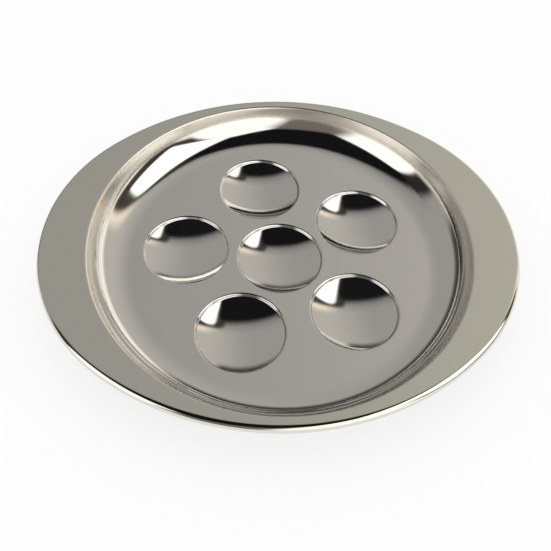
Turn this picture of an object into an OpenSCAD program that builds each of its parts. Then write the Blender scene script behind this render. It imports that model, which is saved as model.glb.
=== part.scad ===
// Escargot plate pressed from one stainless steel sheet: an oval flat rim with its edge rolled
// under, a round bowl with a flat floor, and round wells in the floor that it also stands on.
// Millimetres, +Z up, X along the oval. The origin is under the middle, where the wells touch down.

/* [Outline] */
// Length of the oval rim, over the rolled edge
plate_l = 184; // [178:1:200]
// Width of the oval rim, over the rolled edge
plate_w = 156.8; // [156:0.2:168]
// Radius of the outline at the two ends of the oval
end_r = 70.4; // [64:0.2:74]

/* [Sheet] */
// Thickness of the sheet
sheet_t = 0.65; // [0.4:0.05:0.8]
// Outside radius of the rolled edge
edge_r = 2.1; // [1.6:0.1:2.8]
// How far round the edge is rolled, from the flat of the rim
edge_curl = 200; // [90:5:240]

/* [Bowl] */
// Diameter of the bowl's mouth, where the flat rim starts to turn down
mouth_d = 148.4; // [146:0.2:151]
// Diameter of the flat floor, where the curved wall starts to rise
floor_d = 118.16; // [114:0.02:118.4]
// Depth of the bowl, from the rim to its floor
bowl_depth = 13.44; // [10:0.02:14.6]
// Radius of the rounded lip, on the upper face
lip_r = 1; // [0.9:0.05:3]
/* [Wells] */
// Number of wells in the ring round the middle one
ring_wells = 5; // [3:1:5]
// Radius of the ring, from the plate's middle to the middle of a well
ring_r = 37.6; // [37.2:0.1:39.4]
// Turn of the ring, from the long axis to its first well
ring_turn = 27; // [0:0.5:72]
// Diameter of a well at the floor, where its rounded lip starts
well_d = 35.1; // [34:0.1:35.8]
// Depth of a well, from the floor
well_depth = 5.2; // [4.9:0.1:5.6]
// Radius of the round base of a well, on the upper face
well_base_r = 34.425; // [32.5:0.005:38]
// Radius of the corner between the base of a well and its side, on the upper face
well_corner_r = 0.85; // [0.6:0.05:1.5]
// Radius of the rounded lip of a well, on the upper face
well_lip_r = 1; // [0.9:0.05:1.5]

/* [Hidden] */
$fn = 180;
// Facets round each arc of a section
section_fn = 72;
// How far flat stretches of the sheet run into each other where they join
lap = 0.3;

mouth_r = mouth_d / 2;
floor_r = floor_d / 2;
well_r = well_d / 2;
floor_z = well_depth + sheet_t;
rim_z = floor_z + bowl_depth;

// The outline is four tangent arcs: one round end_c at each end, and a broad one along each side.
end_c = plate_l / 2 - end_r;
side_gap = plate_w / 2 - end_r;
side_c = (end_c * end_c - side_gap * side_gap) / (2 * side_gap);
side_r = plate_w / 2 + side_c;
// Width of the rim's band, from the outline to just inside the mouth at the two ends
band_w = plate_l / 2 - mouth_r + 3;

// The wall is one arc that starts flat at the floor and ends where it touches the arc of the lip.
wall_run = mouth_r - floor_r;
wall_r = (wall_run * wall_run + bowl_depth * bowl_depth) / (2 * bowl_depth) - lip_r;
wall_c = [floor_r, floor_z + wall_r];
lip_c = [mouth_r, rim_z - lip_r];

// The base of a well is a cap of a sphere. The corner arc touches the cap and the arc of the lip,
// so its centre is where two circles cross. Heights in a well are from the floor.
well_base_c = [0, well_base_r - well_depth];
well_lip_c = [well_r, -well_lip_r];
well_run = well_lip_c - well_base_c;
well_gap = norm(well_run);
to_base = well_base_r - well_corner_r;
to_lip = well_corner_r + well_lip_r;
along = (well_gap * well_gap + to_base * to_base - to_lip * to_lip) / (2 * well_gap);
across = sqrt(to_base * to_base - along * along);
well_corner_c = well_base_c + (along * well_run + across * [well_run.y, -well_run.x]) / well_gap;

// A stretch of sheet bent round c, as far as it lies in the polygon from c through the points
module bend(c, r_in, points) {
  intersection() {
    translate(c) difference() {
      circle(r = r_in + sheet_t, $fn = section_fn);
      circle(r = r_in, $fn = section_fn);
    }
    polygon([c, each points]);
  }
}

// A straight stretch of sheet whose upper face runs from p to q
module strip(p, q) {
  run = (q - p) / norm(q - p);
  down = sheet_t * [run.y, -run.x];
  polygon([p, q, q + down, p + down]);
}

// The rim in section, for an outline of radius r: its flat, and the edge rolled under
module rim_section(r) {
  c = [r - edge_r, rim_z - edge_r];
  steps = 4;
  strip([r - band_w, rim_z], [r - edge_r, rim_z]);
  bend(c, edge_r - sheet_t, [for (i = [0:steps])
    let (a = 90 - edge_curl * i / steps) c + 2 * edge_r * [cos(a), sin(a)]]);
}

// The rim all round, from its rolled edge to just inside the mouth. The arcs meet on the lines
// through their centres.
module rim_band() {
  far = 4;
  join = [(1 + far) * end_c, far * side_c];
  for (s = [1, -1]) {
    intersection() {
      translate([s * end_c, 0, 0]) rotate_extrude() rim_section(end_r);
      linear_extrude(2 * rim_z)
        polygon([[s * end_c, 0], [s * join.x, -join.y], [s * join.x, join.y]]);
    }
    intersection() {
      translate([0, -s * side_c, 0]) rotate_extrude() rim_section(side_r);
      linear_extrude(2 * rim_z)
        polygon([[-end_c, 0], [end_c, 0], [join.x, s * join.y], [-join.x, s * join.y]]);
    }
  }
}

// The bowl in section: floor, wall and lip
module bowl_section() {
  out = lip_c - wall_c;
  low = -2 * wall_r;
  high = 3 * lip_r;
  strip([0, floor_z], [floor_r, floor_z]);
  bend(wall_c, wall_r, [wall_c + [0, low], wall_c + [-low, low], wall_c + 2 * out]);
  bend(lip_c, lip_r - sheet_t, [lip_c - out / 5, lip_c + [-high, high], lip_c + [0, high]]);
  strip([mouth_r, rim_z], [mouth_r + 2 * lap, rim_z]);
}

// A well in section, with the floor at height 0: its base, corner and lip
module well_section() {
  out = well_corner_c - well_base_c;
  up = well_corner_c - well_lip_c;
  bend(well_base_c, well_base_r, [[0, -2 * well_depth], well_base_c + 1.2 * out]);
  bend(well_corner_c, well_corner_r, [well_corner_c + out / 10, well_corner_c - 2 * up]);
  bend(well_lip_c, well_lip_r - sheet_t, [well_lip_c + 2 * up, [well_r, 4 * well_lip_r]]);
  strip([well_r, 0], [well_r + 2 * lap, 0]);
}

// Puts its children on the floor at the middle of each well
module at_wells() {
  translate([0, 0, floor_z]) {
    children();
    for (i = [0:ring_wells - 1]) rotate([0, 0, ring_turn + i * 360 / ring_wells])
      translate([ring_r, 0, 0]) children();
  }
}

module plate() {
  color([0.74, 0.73, 0.71]) union() {
    difference() {
      rim_band();
      translate([0, 0, floor_z]) cylinder(r = mouth_r + lap, h = 2 * bowl_depth);
    }
    difference() {
      rotate_extrude() bowl_section();
      at_wells() cylinder(r = well_r + lap, h = 3 * sheet_t, center = true);
    }
    at_wells() rotate_extrude() well_section();
  }
}

plate();
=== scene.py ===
"""Escargot plate: one pressed and polished stainless steel sheet on a white table.

Lengths are in millimetres, unless a name ends in _M, and are turned into metres where Blender
gets them. Angles are in degrees.
"""

import math

import bpy
import numpy as np
from mathutils import Matrix, Vector
from mathutils.geometry import delaunay_2d_cdt


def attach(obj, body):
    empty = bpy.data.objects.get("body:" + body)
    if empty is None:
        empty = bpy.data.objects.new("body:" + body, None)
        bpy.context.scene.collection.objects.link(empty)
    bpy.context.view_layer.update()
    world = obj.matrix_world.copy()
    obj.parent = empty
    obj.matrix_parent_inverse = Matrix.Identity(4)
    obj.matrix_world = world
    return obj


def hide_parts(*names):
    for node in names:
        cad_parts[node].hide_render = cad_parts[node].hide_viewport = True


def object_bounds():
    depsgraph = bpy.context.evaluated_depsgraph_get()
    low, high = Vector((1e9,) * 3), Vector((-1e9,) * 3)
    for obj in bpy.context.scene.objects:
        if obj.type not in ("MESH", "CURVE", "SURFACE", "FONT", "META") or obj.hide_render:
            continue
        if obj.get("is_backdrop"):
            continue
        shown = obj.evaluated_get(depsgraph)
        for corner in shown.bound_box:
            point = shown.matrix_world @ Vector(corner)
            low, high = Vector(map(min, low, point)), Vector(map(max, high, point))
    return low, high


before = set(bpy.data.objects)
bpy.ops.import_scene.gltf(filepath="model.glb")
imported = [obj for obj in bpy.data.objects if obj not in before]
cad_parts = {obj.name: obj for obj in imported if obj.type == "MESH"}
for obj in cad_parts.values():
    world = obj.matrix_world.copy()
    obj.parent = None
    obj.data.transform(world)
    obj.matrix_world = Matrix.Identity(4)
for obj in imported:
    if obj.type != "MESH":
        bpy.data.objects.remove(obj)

cad_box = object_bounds()

# Shape, as in the construction: the oval over its rolled edge, the sheet's thickness, the roll,
# the bowl, the ring of wells, and a well with the radii of its cap, corner and lip
PLATE_L, PLATE_W, END_R = 184.0, 156.8, 70.4
SHEET = 0.65
EDGE_R, EDGE_CURL = 2.1, 200.0
MOUTH_R, FLOOR_R, BOWL_DEPTH, LIP_R = 74.2, 59.08, 13.44, 1.0
RING_WELLS, RING_R, RING_TURN = 5, 37.6, 27.0
WELL_R, WELL_DEPTH = 17.55, 5.2
BASE_R, CORNER_R, WELL_LIP_R = 34.425, 0.85, 1.0

FLOOR_Z = WELL_DEPTH + SHEET
RIM_Z = FLOOR_Z + BOWL_DEPTH
MM = 0.001  # metres in a millimetre

# Mesh fineness: points round the plate and round each well, and rows along each arc
ROUND, WELL_ROUND = 480, 96
EDGE_ROWS, WALL_ROWS, LIP_ROWS = 21, 33, 11
CAP_ROWS, CORNER_ROWS, WELL_LIP_ROWS = 14, 8, 9
# A triangle of the floor lies in a well's mouth, and is left out, if its middle is nearer to the
# well's centre than this share of the well's radius
WELL_SHARE = 0.998
SAME_POINT = 1e-6  # points of the floor that are nearer than this are one

# Camera: where it stands, what it looks at, its roll and its lens
CAMERA_PLACE, CAMERA_TARGET = (-20.70, -159.24, FLOOR_Z + 215.69), (-2.43, -8.86, FLOOR_Z)
CAMERA_ROLL, LENS, SENSOR_W, CLIP_START_M = 3.43, 43.886, 36, 0.01

TABLE_SIDE_M = 20
TABLE_GLOW = 0.7  # share of plain white that the table shows in place of its lit colour

# Steel: where the bands round the bowl fade in and out, by distance from its axis. The one below
# the lip is duller, has a lighter cream painted reflection in its colour, and also fades in by
# height.
DULL_AND_PAINTED_FROM, DULL_AND_PAINTED_TO, DULL_AND_PAINTED_FROM_Z = (70.0, 71.5), (73.4, 74.2), (12.5, 15.5)
SMOOTH_FROM, SMOOTH_TO = (65.5, 68.5), (74.4, 75.6)
WARM_FROM = (71.5, 75.5)
# The third colour is a lighter cream, a painted reflection used below the lip of the bowl
STEEL, WARM_STEEL, PAINTED_CREAM_STEEL = (0.745, 0.73, 0.71), (0.735, 0.728, 0.66), (0.90, 0.855, 0.77)
ROUGHNESS, DULL_ROUGHER = (0.05, 0.085), 0.25
# Noise as scale and detail, the span of it that is used, and bumps as strength and height
PATCH_NOISE, PATCH_SPAN = (28.0, 3.0), (0.35, 0.65)
WAVE_NOISE, WAVE_BUMP = (190.0, 1.0), (0.35, 0.03)
SCRATCH_NOISE, SCRATCH_SPAN, SCRATCH_BUMP = (1.0, 0.0), (0.77, 0.87), (0.12, 0.02)
# Scratches run in two ways: the turn of each in radians and its scale lengthwise
SCRATCH_WAYS, SCRATCH_ACROSS = ((0.6, 55.0), (-0.9, 75.0)), 2600.0

# A colour Mix node's sockets, by number, since names repeat on it
MIX_SHARE, MIX_A, MIX_B, MIX_OUT = 0, 6, 7, 2


def arc(centre, r, a0, a1, n, side):
    """n rows (radius, height, normal outward, normal up) along an arc of the upper face, from
    tilt a0 to tilt a1. side is 1 where the centre is above the sheet and -1 where it is below."""
    a = np.radians(np.linspace(a0, a1, n))
    s, c = np.sin(a), np.cos(a)
    return np.column_stack([centre[0] + side * r * s, centre[1] - side * r * c, -s, c])


def bowl_section():
    """From the edge of the floor up the wall, one arc, and over the lip."""
    run = MOUTH_R - FLOOR_R
    wall_r = (run**2 + BOWL_DEPTH**2) / (2 * BOWL_DEPTH) - LIP_R
    tilt = math.degrees(math.atan2(run, wall_r + LIP_R - BOWL_DEPTH))
    wall = arc((FLOOR_R, FLOOR_Z + wall_r), wall_r, 0, tilt, WALL_ROWS, 1)
    return np.vstack([wall, arc((MOUTH_R, RIM_Z - LIP_R), LIP_R, tilt, 0, LIP_ROWS, -1)])


def well_section():
    """From a well's lowest point along its cap, round its corner and over its lip."""
    base, lip = np.array([0, SHEET + BASE_R]), np.array([WELL_R, FLOOR_Z - WELL_LIP_R])
    d = lip - base
    gap = np.hypot(*d)
    a, b = BASE_R - CORNER_R, CORNER_R + WELL_LIP_R
    along = (gap**2 + a**2 - b**2) / (2 * gap)
    across = math.sqrt(a**2 - along**2)
    corner = base + (along * d + across * np.array([d[1], -d[0]])) / gap
    tilt0 = math.degrees(math.atan2(corner[0], base[1] - corner[1]))
    tilt1 = math.degrees(math.atan2(lip[0] - corner[0], corner[1] - lip[1]))
    cap = arc(base, BASE_R, 0, tilt0, CAP_ROWS, 1)
    bend = arc(corner, CORNER_R, tilt0, tilt1, CORNER_ROWS, 1)
    return np.vstack([cap, bend[1:], arc(lip, WELL_LIP_R, tilt1, 0, WELL_LIP_ROWS, -1)])


def outline(n):
    """n points of the oval's four arcs, each as its arc's centre, radius and direction from it."""
    end_c, gap = PLATE_L / 2 - END_R, PLATE_W / 2 - END_R
    side_c = (end_c**2 - gap**2) / (2 * gap)
    side_r = PLATE_W / 2 + side_c
    half = math.atan2(side_c, end_c)
    arcs = [
        ((end_c, 0), END_R, -half, half),
        ((0, -side_c), side_r, half, math.pi - half),
        ((-end_c, 0), END_R, math.pi - half, math.pi + half),
        ((0, side_c), side_r, math.pi + half, 2 * math.pi - half),
    ]
    long = [r * (b - a) for _, r, a, b in arcs]
    count = [round(n * v / sum(long) / 2) * 2 for v in long]
    count[1] = count[3] = (n - count[0] - count[2]) // 2
    rows = []
    for (c, r, a, b), k in zip(arcs, count):
        for t in np.linspace(a, b, k, endpoint=False):
            rows.append((c[0], c[1], r, math.cos(t), math.sin(t)))
    return np.array(rows)


class Skin:
    """The upper face as points, normals and polygons. Rings are rows of points' numbers."""

    def __init__(self):
        self.points, self.normals, self.faces, self.count = [], [], [], 0

    def ring(self, points, normals):
        self.points.append(points)
        self.normals.append(normals)
        self.count += len(points)
        return np.arange(self.count - len(points), self.count)

    def turned(self, row, centre, angles):
        """A section's row, turned about the upright axis through centre."""
        c, s = np.cos(angles), np.sin(angles)
        one = np.ones_like(c)
        return self.ring(
            np.column_stack([centre[0] + row[0] * c, centre[1] + row[0] * s, row[1] * one]),
            np.column_stack([row[2] * c, row[2] * s, row[3] * one]),
        )

    def band(self, inner, outer):
        """Quads between two rings."""
        nxt = np.roll(np.arange(len(inner)), -1)
        self.faces += np.column_stack([inner, outer, outer[nxt], inner[nxt]]).tolist()


def plate_mesh():
    """The whole sheet: its upper face, and the same face one sheet lower."""
    skin = Skin()
    oval = outline(ROUND)
    n = len(oval)

    # Rolled edge, from its free end to the flat of the rim
    edge = []
    for t in np.radians(np.linspace(EDGE_CURL, 0, EDGE_ROWS)):
        out = (oval[:, 2] - EDGE_R + EDGE_R * math.sin(t))[:, None]
        z = RIM_Z - EDGE_R + EDGE_R * math.cos(t)
        p = np.column_stack([oval[:, :2] + out * oval[:, 3:], np.full(n, z)])
        m = np.column_stack([math.sin(t) * oval[:, 3:], np.full(n, math.cos(t))])
        edge.append(skin.ring(p, m))
    for a, b in zip(edge, edge[1:]):
        skin.band(b, a)

    # Bowl, turned at the directions of the rim's points
    rim = skin.points[-1]
    turn = np.arctan2(rim[:, 1], rim[:, 0])
    rows = [skin.turned(row, (0, 0), turn) for row in bowl_section()]
    for a, b in zip(rows, rows[1:]):
        skin.band(a, b)
    skin.band(rows[-1], edge[-1])

    # Wells
    centres = [(0.0, 0.0)]
    for i in range(RING_WELLS):
        a = math.radians(RING_TURN + 360 * i / RING_WELLS)
        centres.append((RING_R * math.cos(a), RING_R * math.sin(a)))
    section = well_section()
    angles = np.linspace(0, 2 * math.pi, WELL_ROUND, endpoint=False)
    mouths = []
    for c in centres:
        pole = skin.turned(section[0], c, np.zeros(1))[0]
        rings = [skin.turned(row, c, angles) for row in section[1:]]
        nxt = np.roll(rings[0], -1)
        skin.faces += [[int(pole), int(p), int(q)] for p, q in zip(rings[0], nxt)]
        for a, b in zip(rings, rings[1:]):
            skin.band(a, b)
        mouths.append(rings[-1])

    # Floor between the wells and the foot of the wall
    points = np.vstack(skin.points)
    loops = [rows[0], *mouths]
    used = np.concatenate(loops)
    edges, at = [], 0
    for loop in loops:
        k = np.arange(len(loop))
        edges += np.column_stack([at + k, at + np.roll(k, -1)]).tolist()
        at += len(loop)
    flat = [Vector(p) for p in points[used, :2]]
    co, _, tris, origin, _, _ = delaunay_2d_cdt(flat, edges, [], 0, SAME_POINT)
    co = np.array([list(v) for v in co])
    for tri in tris:
        mid = co[list(tri)].mean(0)
        if min(math.dist(mid, c) for c in centres) > WELL_R * WELL_SHARE:
            ids = [int(used[origin[v][0]]) for v in tri]
            a, b, c = points[ids, :2]
            if (b[0] - a[0]) * (c[1] - a[1]) - (b[1] - a[1]) * (c[0] - a[0]) < 0:
                ids.reverse()
            skin.faces.append(ids)

    # The lower face lies one sheet below, and the two meet at the free end of the rolled edge
    normals = np.vstack(skin.normals)
    total = len(points)
    faces = skin.faces + [[v + total for v in reversed(f)] for f in skin.faces]
    loose = edge[0]
    nxt = np.roll(loose, -1)
    faces += np.column_stack([loose, nxt, nxt + total, loose + total]).tolist()
    points = np.vstack([points, points - SHEET * normals]) * MM
    normals = np.vstack([normals, -normals])

    mesh = bpy.data.meshes.new("plate")
    mesh.from_pydata(points.tolist(), [], faces)
    mesh.validate()
    mesh.polygons.foreach_set("use_smooth", np.ones(len(mesh.polygons), bool))
    mesh.normals_split_custom_set_from_vertices(normals.tolist())
    mesh.update()
    return mesh


class Nodes:
    """Adds nodes to a node tree. A value may be a number, a colour or another node's output."""

    def __init__(self, tree):
        self.tree = tree

    def put(self, value, socket):
        if isinstance(value, bpy.types.NodeSocket):
            self.tree.links.new(value, socket)
        else:
            socket.default_value = value

    def add(self, kind, inputs=(), **settings):
        n = self.tree.nodes.new(kind)
        for name, value in settings.items():
            setattr(n, name, value)
        for name, value in dict(inputs).items():
            self.put(value, n.inputs[name])
        return n

    def math(self, operation, *values):
        return self.add("ShaderNodeMath", enumerate(values), operation=operation).outputs[0]

    def times(self, first, *others):
        for other in others:
            first = self.math("MULTIPLY", first, other)
        return first

    def plus(self, a, b):
        return self.math("ADD", a, b)

    def length(self, a, b):
        return self.math("SQRT", self.plus(self.times(a, a), self.times(b, b)))

    def ramp(self, x, a, b):
        """0 below a and 1 above b, smoothly; the other way round if a > b."""
        inputs = {
            "Value": x,
            "From Min": min(a, b),
            "From Max": max(a, b),
            "To Min": 0.0 if a < b else 1.0,
            "To Max": 1.0 if a < b else 0.0,
        }
        return self.add("ShaderNodeMapRange", inputs, interpolation_type="SMOOTHSTEP").outputs[0]

    def stretch(self, x, old, new=(0.0, 1.0)):
        """Turns the span old of x into the span new, and stops at its ends."""
        inputs = {"Value": x, "From Min": old[0], "From Max": old[1]}
        inputs |= {"To Min": new[0], "To Max": new[1]}
        return self.add("ShaderNodeMapRange", inputs).outputs[0]

    def mix(self, share, a, b):
        """Colour a where share is 0 and colour b where it is 1."""
        a, b = ((*v, 1) if isinstance(v, tuple) else v for v in (a, b))
        inputs = {MIX_SHARE: share, MIX_A: a, MIX_B: b}
        return self.add("ShaderNodeMix", inputs, data_type="RGBA").outputs[MIX_OUT]

    def noise(self, where, scale, detail):
        inputs = {"Vector": where, "Scale": scale, "Detail": detail}
        return self.add("ShaderNodeTexNoise", inputs).outputs[0]

    def bump(self, height, strength, most, **rest):
        inputs = {"Height": height, "Strength": strength, "Distance": most * MM}
        return self.add("ShaderNodeBump", inputs, **rest)


def polished_steel():
    """Polished steel with a few fine scratches, the rim a little warmer in colour than the bowl,
    and a painted cream reflection in the colour below the lip of the bowl.
    """
    mat = bpy.data.materials.new("polished steel")
    mat.use_nodes = True
    bsdf = mat.node_tree.nodes["Principled BSDF"]
    bsdf.inputs["Metallic"].default_value = 1.0
    nodes = Nodes(mat.node_tree)

    where = nodes.add("ShaderNodeTexCoord").outputs["Object"]
    x, y, z = nodes.add("ShaderNodeSeparateXYZ", {0: where}).outputs
    radius = nodes.length(x, y)

    def rises(value, span):
        return nodes.ramp(value, span[0] * MM, span[1] * MM)

    def falls(value, span):
        return nodes.math("SUBTRACT", 1.0, rises(value, span))

    # The wall just below the lip of the bowl, rougher and with a painted cream reflection in its
    # colour
    under = nodes.times(rises(radius, DULL_AND_PAINTED_FROM), falls(radius, DULL_AND_PAINTED_TO))
    under = nodes.times(under, rises(z, DULL_AND_PAINTED_FROM_Z))

    colour = nodes.mix(rises(radius, WARM_FROM), STEEL, WARM_STEEL)
    # Below the lip the colour turns to a lighter cream: a painted reflection
    nodes.put(nodes.mix(under, colour, PAINTED_CREAM_STEEL), bsdf.inputs["Base Color"])

    # The polish is a little duller in places, and most below the lip of the bowl
    dull = nodes.stretch(nodes.noise(where, *PATCH_NOISE), PATCH_SPAN, ROUGHNESS)
    rough = nodes.plus(dull, nodes.times(under, DULL_ROUGHER))
    nodes.put(rough, bsdf.inputs["Roughness"])

    # Faint waves left by the press, and scratches that run across in two ways. The lip, and the
    # steep wall below it, are smooth.
    lip = nodes.times(rises(radius, SMOOTH_FROM), falls(radius, SMOOTH_TO))
    plain = nodes.math("SUBTRACT", 1.0, lip)
    waves = nodes.times(nodes.noise(where, *WAVE_NOISE), plain)
    bump = nodes.bump(waves, *WAVE_BUMP)
    for turn, lengthwise in SCRATCH_WAYS:
        scale = (lengthwise, SCRATCH_ACROSS, lengthwise)
        inputs = {"Vector": where, "Rotation": (0, 0, turn), "Scale": scale}
        way = nodes.add("ShaderNodeMapping", inputs).outputs[0]
        deep = nodes.stretch(nodes.noise(way, *SCRATCH_NOISE), SCRATCH_SPAN)
        scratch = nodes.bump(nodes.times(deep, plain), *SCRATCH_BUMP, invert=True)
        nodes.put(bump.outputs[0], scratch.inputs["Normal"])
        bump = scratch
    nodes.put(bump.outputs[0], bsdf.inputs["Normal"])
    return mat


def studio():
    """White behind the object. What polished metal sees round it is a plain grey room above and
    beyond, a dark overhead, and white panels low at the sides. Its fields are placed by degrees
    from straight up, east towards +X and north towards +Y."""
    world = bpy.data.worlds.new("studio")
    bpy.context.scene.world = world
    world.use_nodes = True
    world.node_tree.nodes.clear()
    nodes = Nodes(world.node_tree)
    ramp, plus, times = nodes.ramp, nodes.plus, nodes.times

    where = nodes.add("ShaderNodeTexCoord").outputs["Generated"]
    x, y, z = nodes.add("ShaderNodeSeparateXYZ", {0: where}).outputs
    far = times(nodes.math("ARCCOSINE", z), 180 / math.pi)
    level = nodes.math("MAXIMUM", nodes.length(x, y), 1e-4)  # never 0, as it divides
    scale = nodes.math("DIVIDE", far, level)
    east, north = times(x, scale), times(y, scale)

    def panel(centre, half, corner, soft, turn=0.0, slant=0.0):
        """1 inside a panel and 0 outside it. half is half its width and height, corner the radius
        of its corners, soft the width of its blurred edge and slant how far its sides lean."""
        c, s = math.cos(math.radians(turn)), math.sin(math.radians(turn))
        dx, dy = plus(east, -centre[0]), plus(north, -centre[1])
        u = plus(times(dx, c), times(dy, s))
        v = plus(times(dy, c), times(dx, -s))
        u = plus(u, times(v, -slant))
        qx = plus(nodes.math("ABSOLUTE", u), corner - half[0])
        qy = plus(nodes.math("ABSOLUTE", v), corner - half[1])
        beyond = nodes.length(nodes.math("MAXIMUM", qx, 0.0), nodes.math("MAXIMUM", qy, 0.0))
        within = nodes.math("MINIMUM", nodes.math("MAXIMUM", qx, qy), 0.0)
        return ramp(plus(beyond, within), corner + soft / 2, corner - soft / 2)

    def slope(f):
        """North plus f times east."""
        return plus(north, times(east, f))

    def lean(f):
        """East plus f times north."""
        return plus(east, times(north, f))

    # Each field's colour, and the masks that bound it. Later ones lie over earlier ones.
    room = nodes.mix(ramp(east, -15, 42), (0.40, 0.39, 0.372), (0.585, 0.57, 0.52))
    for colour, *masks in (
        # Round the horizon: cream to the east, grey to the west, dark beyond the object
        ((1.25, 1.19, 1.04), ramp(far, 74, 84), ramp(east, 10, 40)),
        ((0.62, 0.59, 0.51), ramp(far, 76, 90), ramp(east, 30, 0)),
        (
            (0.07, 0.066, 0.06),
            ramp(far, 69, 80),
            ramp(north, 25, 45),
            ramp(slope(-1.6), 25, 45),
        ),
        # Round the dark overhead, which fades out into the room
        ((0.22, 0.215, 0.205), panel((-10, -14.5), (41, 29), corner=11, soft=22)),
        # East: cream beyond a dark frame with a white panel in it
        (
            (1.13, 0.99, 0.80),
            ramp(slope(-0.12), 25.5, 16),
            ramp(east, 22, 47),
            ramp(north, 0, 10),
        ),
        ((0.06, 0.053, 0.042), panel((51, -14.5), (32, 34), corner=8, soft=6, turn=4)),
        (
            (1.66, 1.64, 1.58),
            panel((48.5, -12.1), (25.5, 27.5), corner=4, soft=5, turn=6, slant=0.325),
            ramp(slope(0.2), -29, -25),
            ramp(slope(0.35), 29.6, 26.6),
            ramp(east, 69.5, 65.5),
        ),
        # Low towards the camera: white, with a soft gap beside it
        (
            (1.38, 1.37, 1.33),
            panel((32, -66), (36, 30), corner=10, soft=4, turn=-22),
            ramp(slope(0.75), -6, -12),
        ),
        ((0.20, 0.175, 0.15), panel((-27, -70), (20, 34), corner=8, soft=14, turn=-22)),
        # West: a dark strip beyond the white panel
        ((0.03, 0.027, 0.022), panel((-61, 2), (19, 9.5), corner=3, soft=9, turn=4)),
        # The dark overhead
        (
            (0.006, 0.006, 0.007),
            panel((-11, -18), (37, 27.5), corner=12, soft=9),
            ramp(lean(-0.22), 27.5, 25),
            ramp(slope(-1.07), -50, -44),
        ),
        # West: the white panel
        (
            (1.40, 1.39, 1.36),
            panel((-62, -34.5), (26, 27), corner=5, soft=5, turn=8, slant=-0.22),
            ramp(slope(-0.69), -27, -12),
        ),
        # At the horizon: cream, but not beyond the object
        ((1.25, 1.13, 0.93), ramp(far, 84, 92), ramp(north, 40, 20)),
    ):
        room = nodes.mix(times(*masks), room, colour)

    metal = nodes.add("ShaderNodeBackground", {0: room})
    white = nodes.add("ShaderNodeBackground", {0: (1, 1, 1, 1)})
    glossy = nodes.add("ShaderNodeLightPath").outputs["Is Glossy Ray"]
    inputs = {0: glossy, 1: white.outputs[0], 2: metal.outputs[0]}
    pick = nodes.add("ShaderNodeMixShader", inputs)
    nodes.add("ShaderNodeOutputWorld", {0: pick.outputs[0]})


def table():
    """White, also where the metal shows it, with the plate's shadow left on it, though faint."""
    bpy.ops.mesh.primitive_plane_add(size=TABLE_SIDE_M, location=(0, 0, 0))
    obj = bpy.context.object
    obj.name = "table"
    mat = bpy.data.materials.new("white table")
    mat.use_nodes = True
    bsdf = mat.node_tree.nodes["Principled BSDF"]
    bsdf.inputs["Base Color"].default_value = (0.97, 0.97, 0.97, 1)
    bsdf.inputs["Roughness"].default_value = 0.8
    bsdf.inputs["Specular IOR Level"].default_value = 0.0
    nodes = Nodes(mat.node_tree)
    rays = nodes.add("ShaderNodeLightPath").outputs
    seen = rays["Is Camera Ray"]
    for kind in ("Is Glossy Ray", "Is Transmission Ray"):
        seen = nodes.math("MAXIMUM", seen, rays[kind])
    glow = nodes.add("ShaderNodeEmission")
    inputs = {0: nodes.times(seen, TABLE_GLOW), 1: bsdf.outputs[0], 2: glow.outputs[0]}
    pick = nodes.add("ShaderNodeMixShader", inputs)
    nodes.put(pick.outputs[0], mat.node_tree.nodes["Material Output"].inputs[0])
    obj.data.materials.append(mat)
    obj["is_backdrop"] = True


def camera():
    """At the photograph's viewing angle."""
    place, target, roll = Vector(CAMERA_PLACE), Vector(CAMERA_TARGET), math.radians(CAMERA_ROLL)
    ahead = (target - place).normalized()
    level = ahead.cross(Vector((0, 0, 1))).normalized()
    up = level.cross(ahead)
    right = math.cos(roll) * level + math.sin(roll) * up
    up = -math.sin(roll) * level + math.cos(roll) * up
    cam = bpy.data.cameras.new("camera")
    cam.sensor_width = SENSOR_W
    cam.lens = LENS
    cam.clip_start = CLIP_START_M
    obj = bpy.data.objects.new("camera", cam)
    bpy.context.scene.collection.objects.link(obj)
    turn = Matrix((right, up, -ahead)).transposed().to_4x4()
    obj.matrix_world = Matrix.Translation(place * MM) @ turn
    bpy.context.scene.camera = obj


plate = bpy.data.objects.new("steel_plate", plate_mesh())
bpy.context.scene.collection.objects.link(plate)
plate.data.materials.append(polished_steel())
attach(plate, "root")
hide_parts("plate")

studio()
table()
camera()
bpy.context.scene.view_settings.view_transform = "Standard"

[[list(map(float, p)) for p in box] for box in (cad_box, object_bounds())]
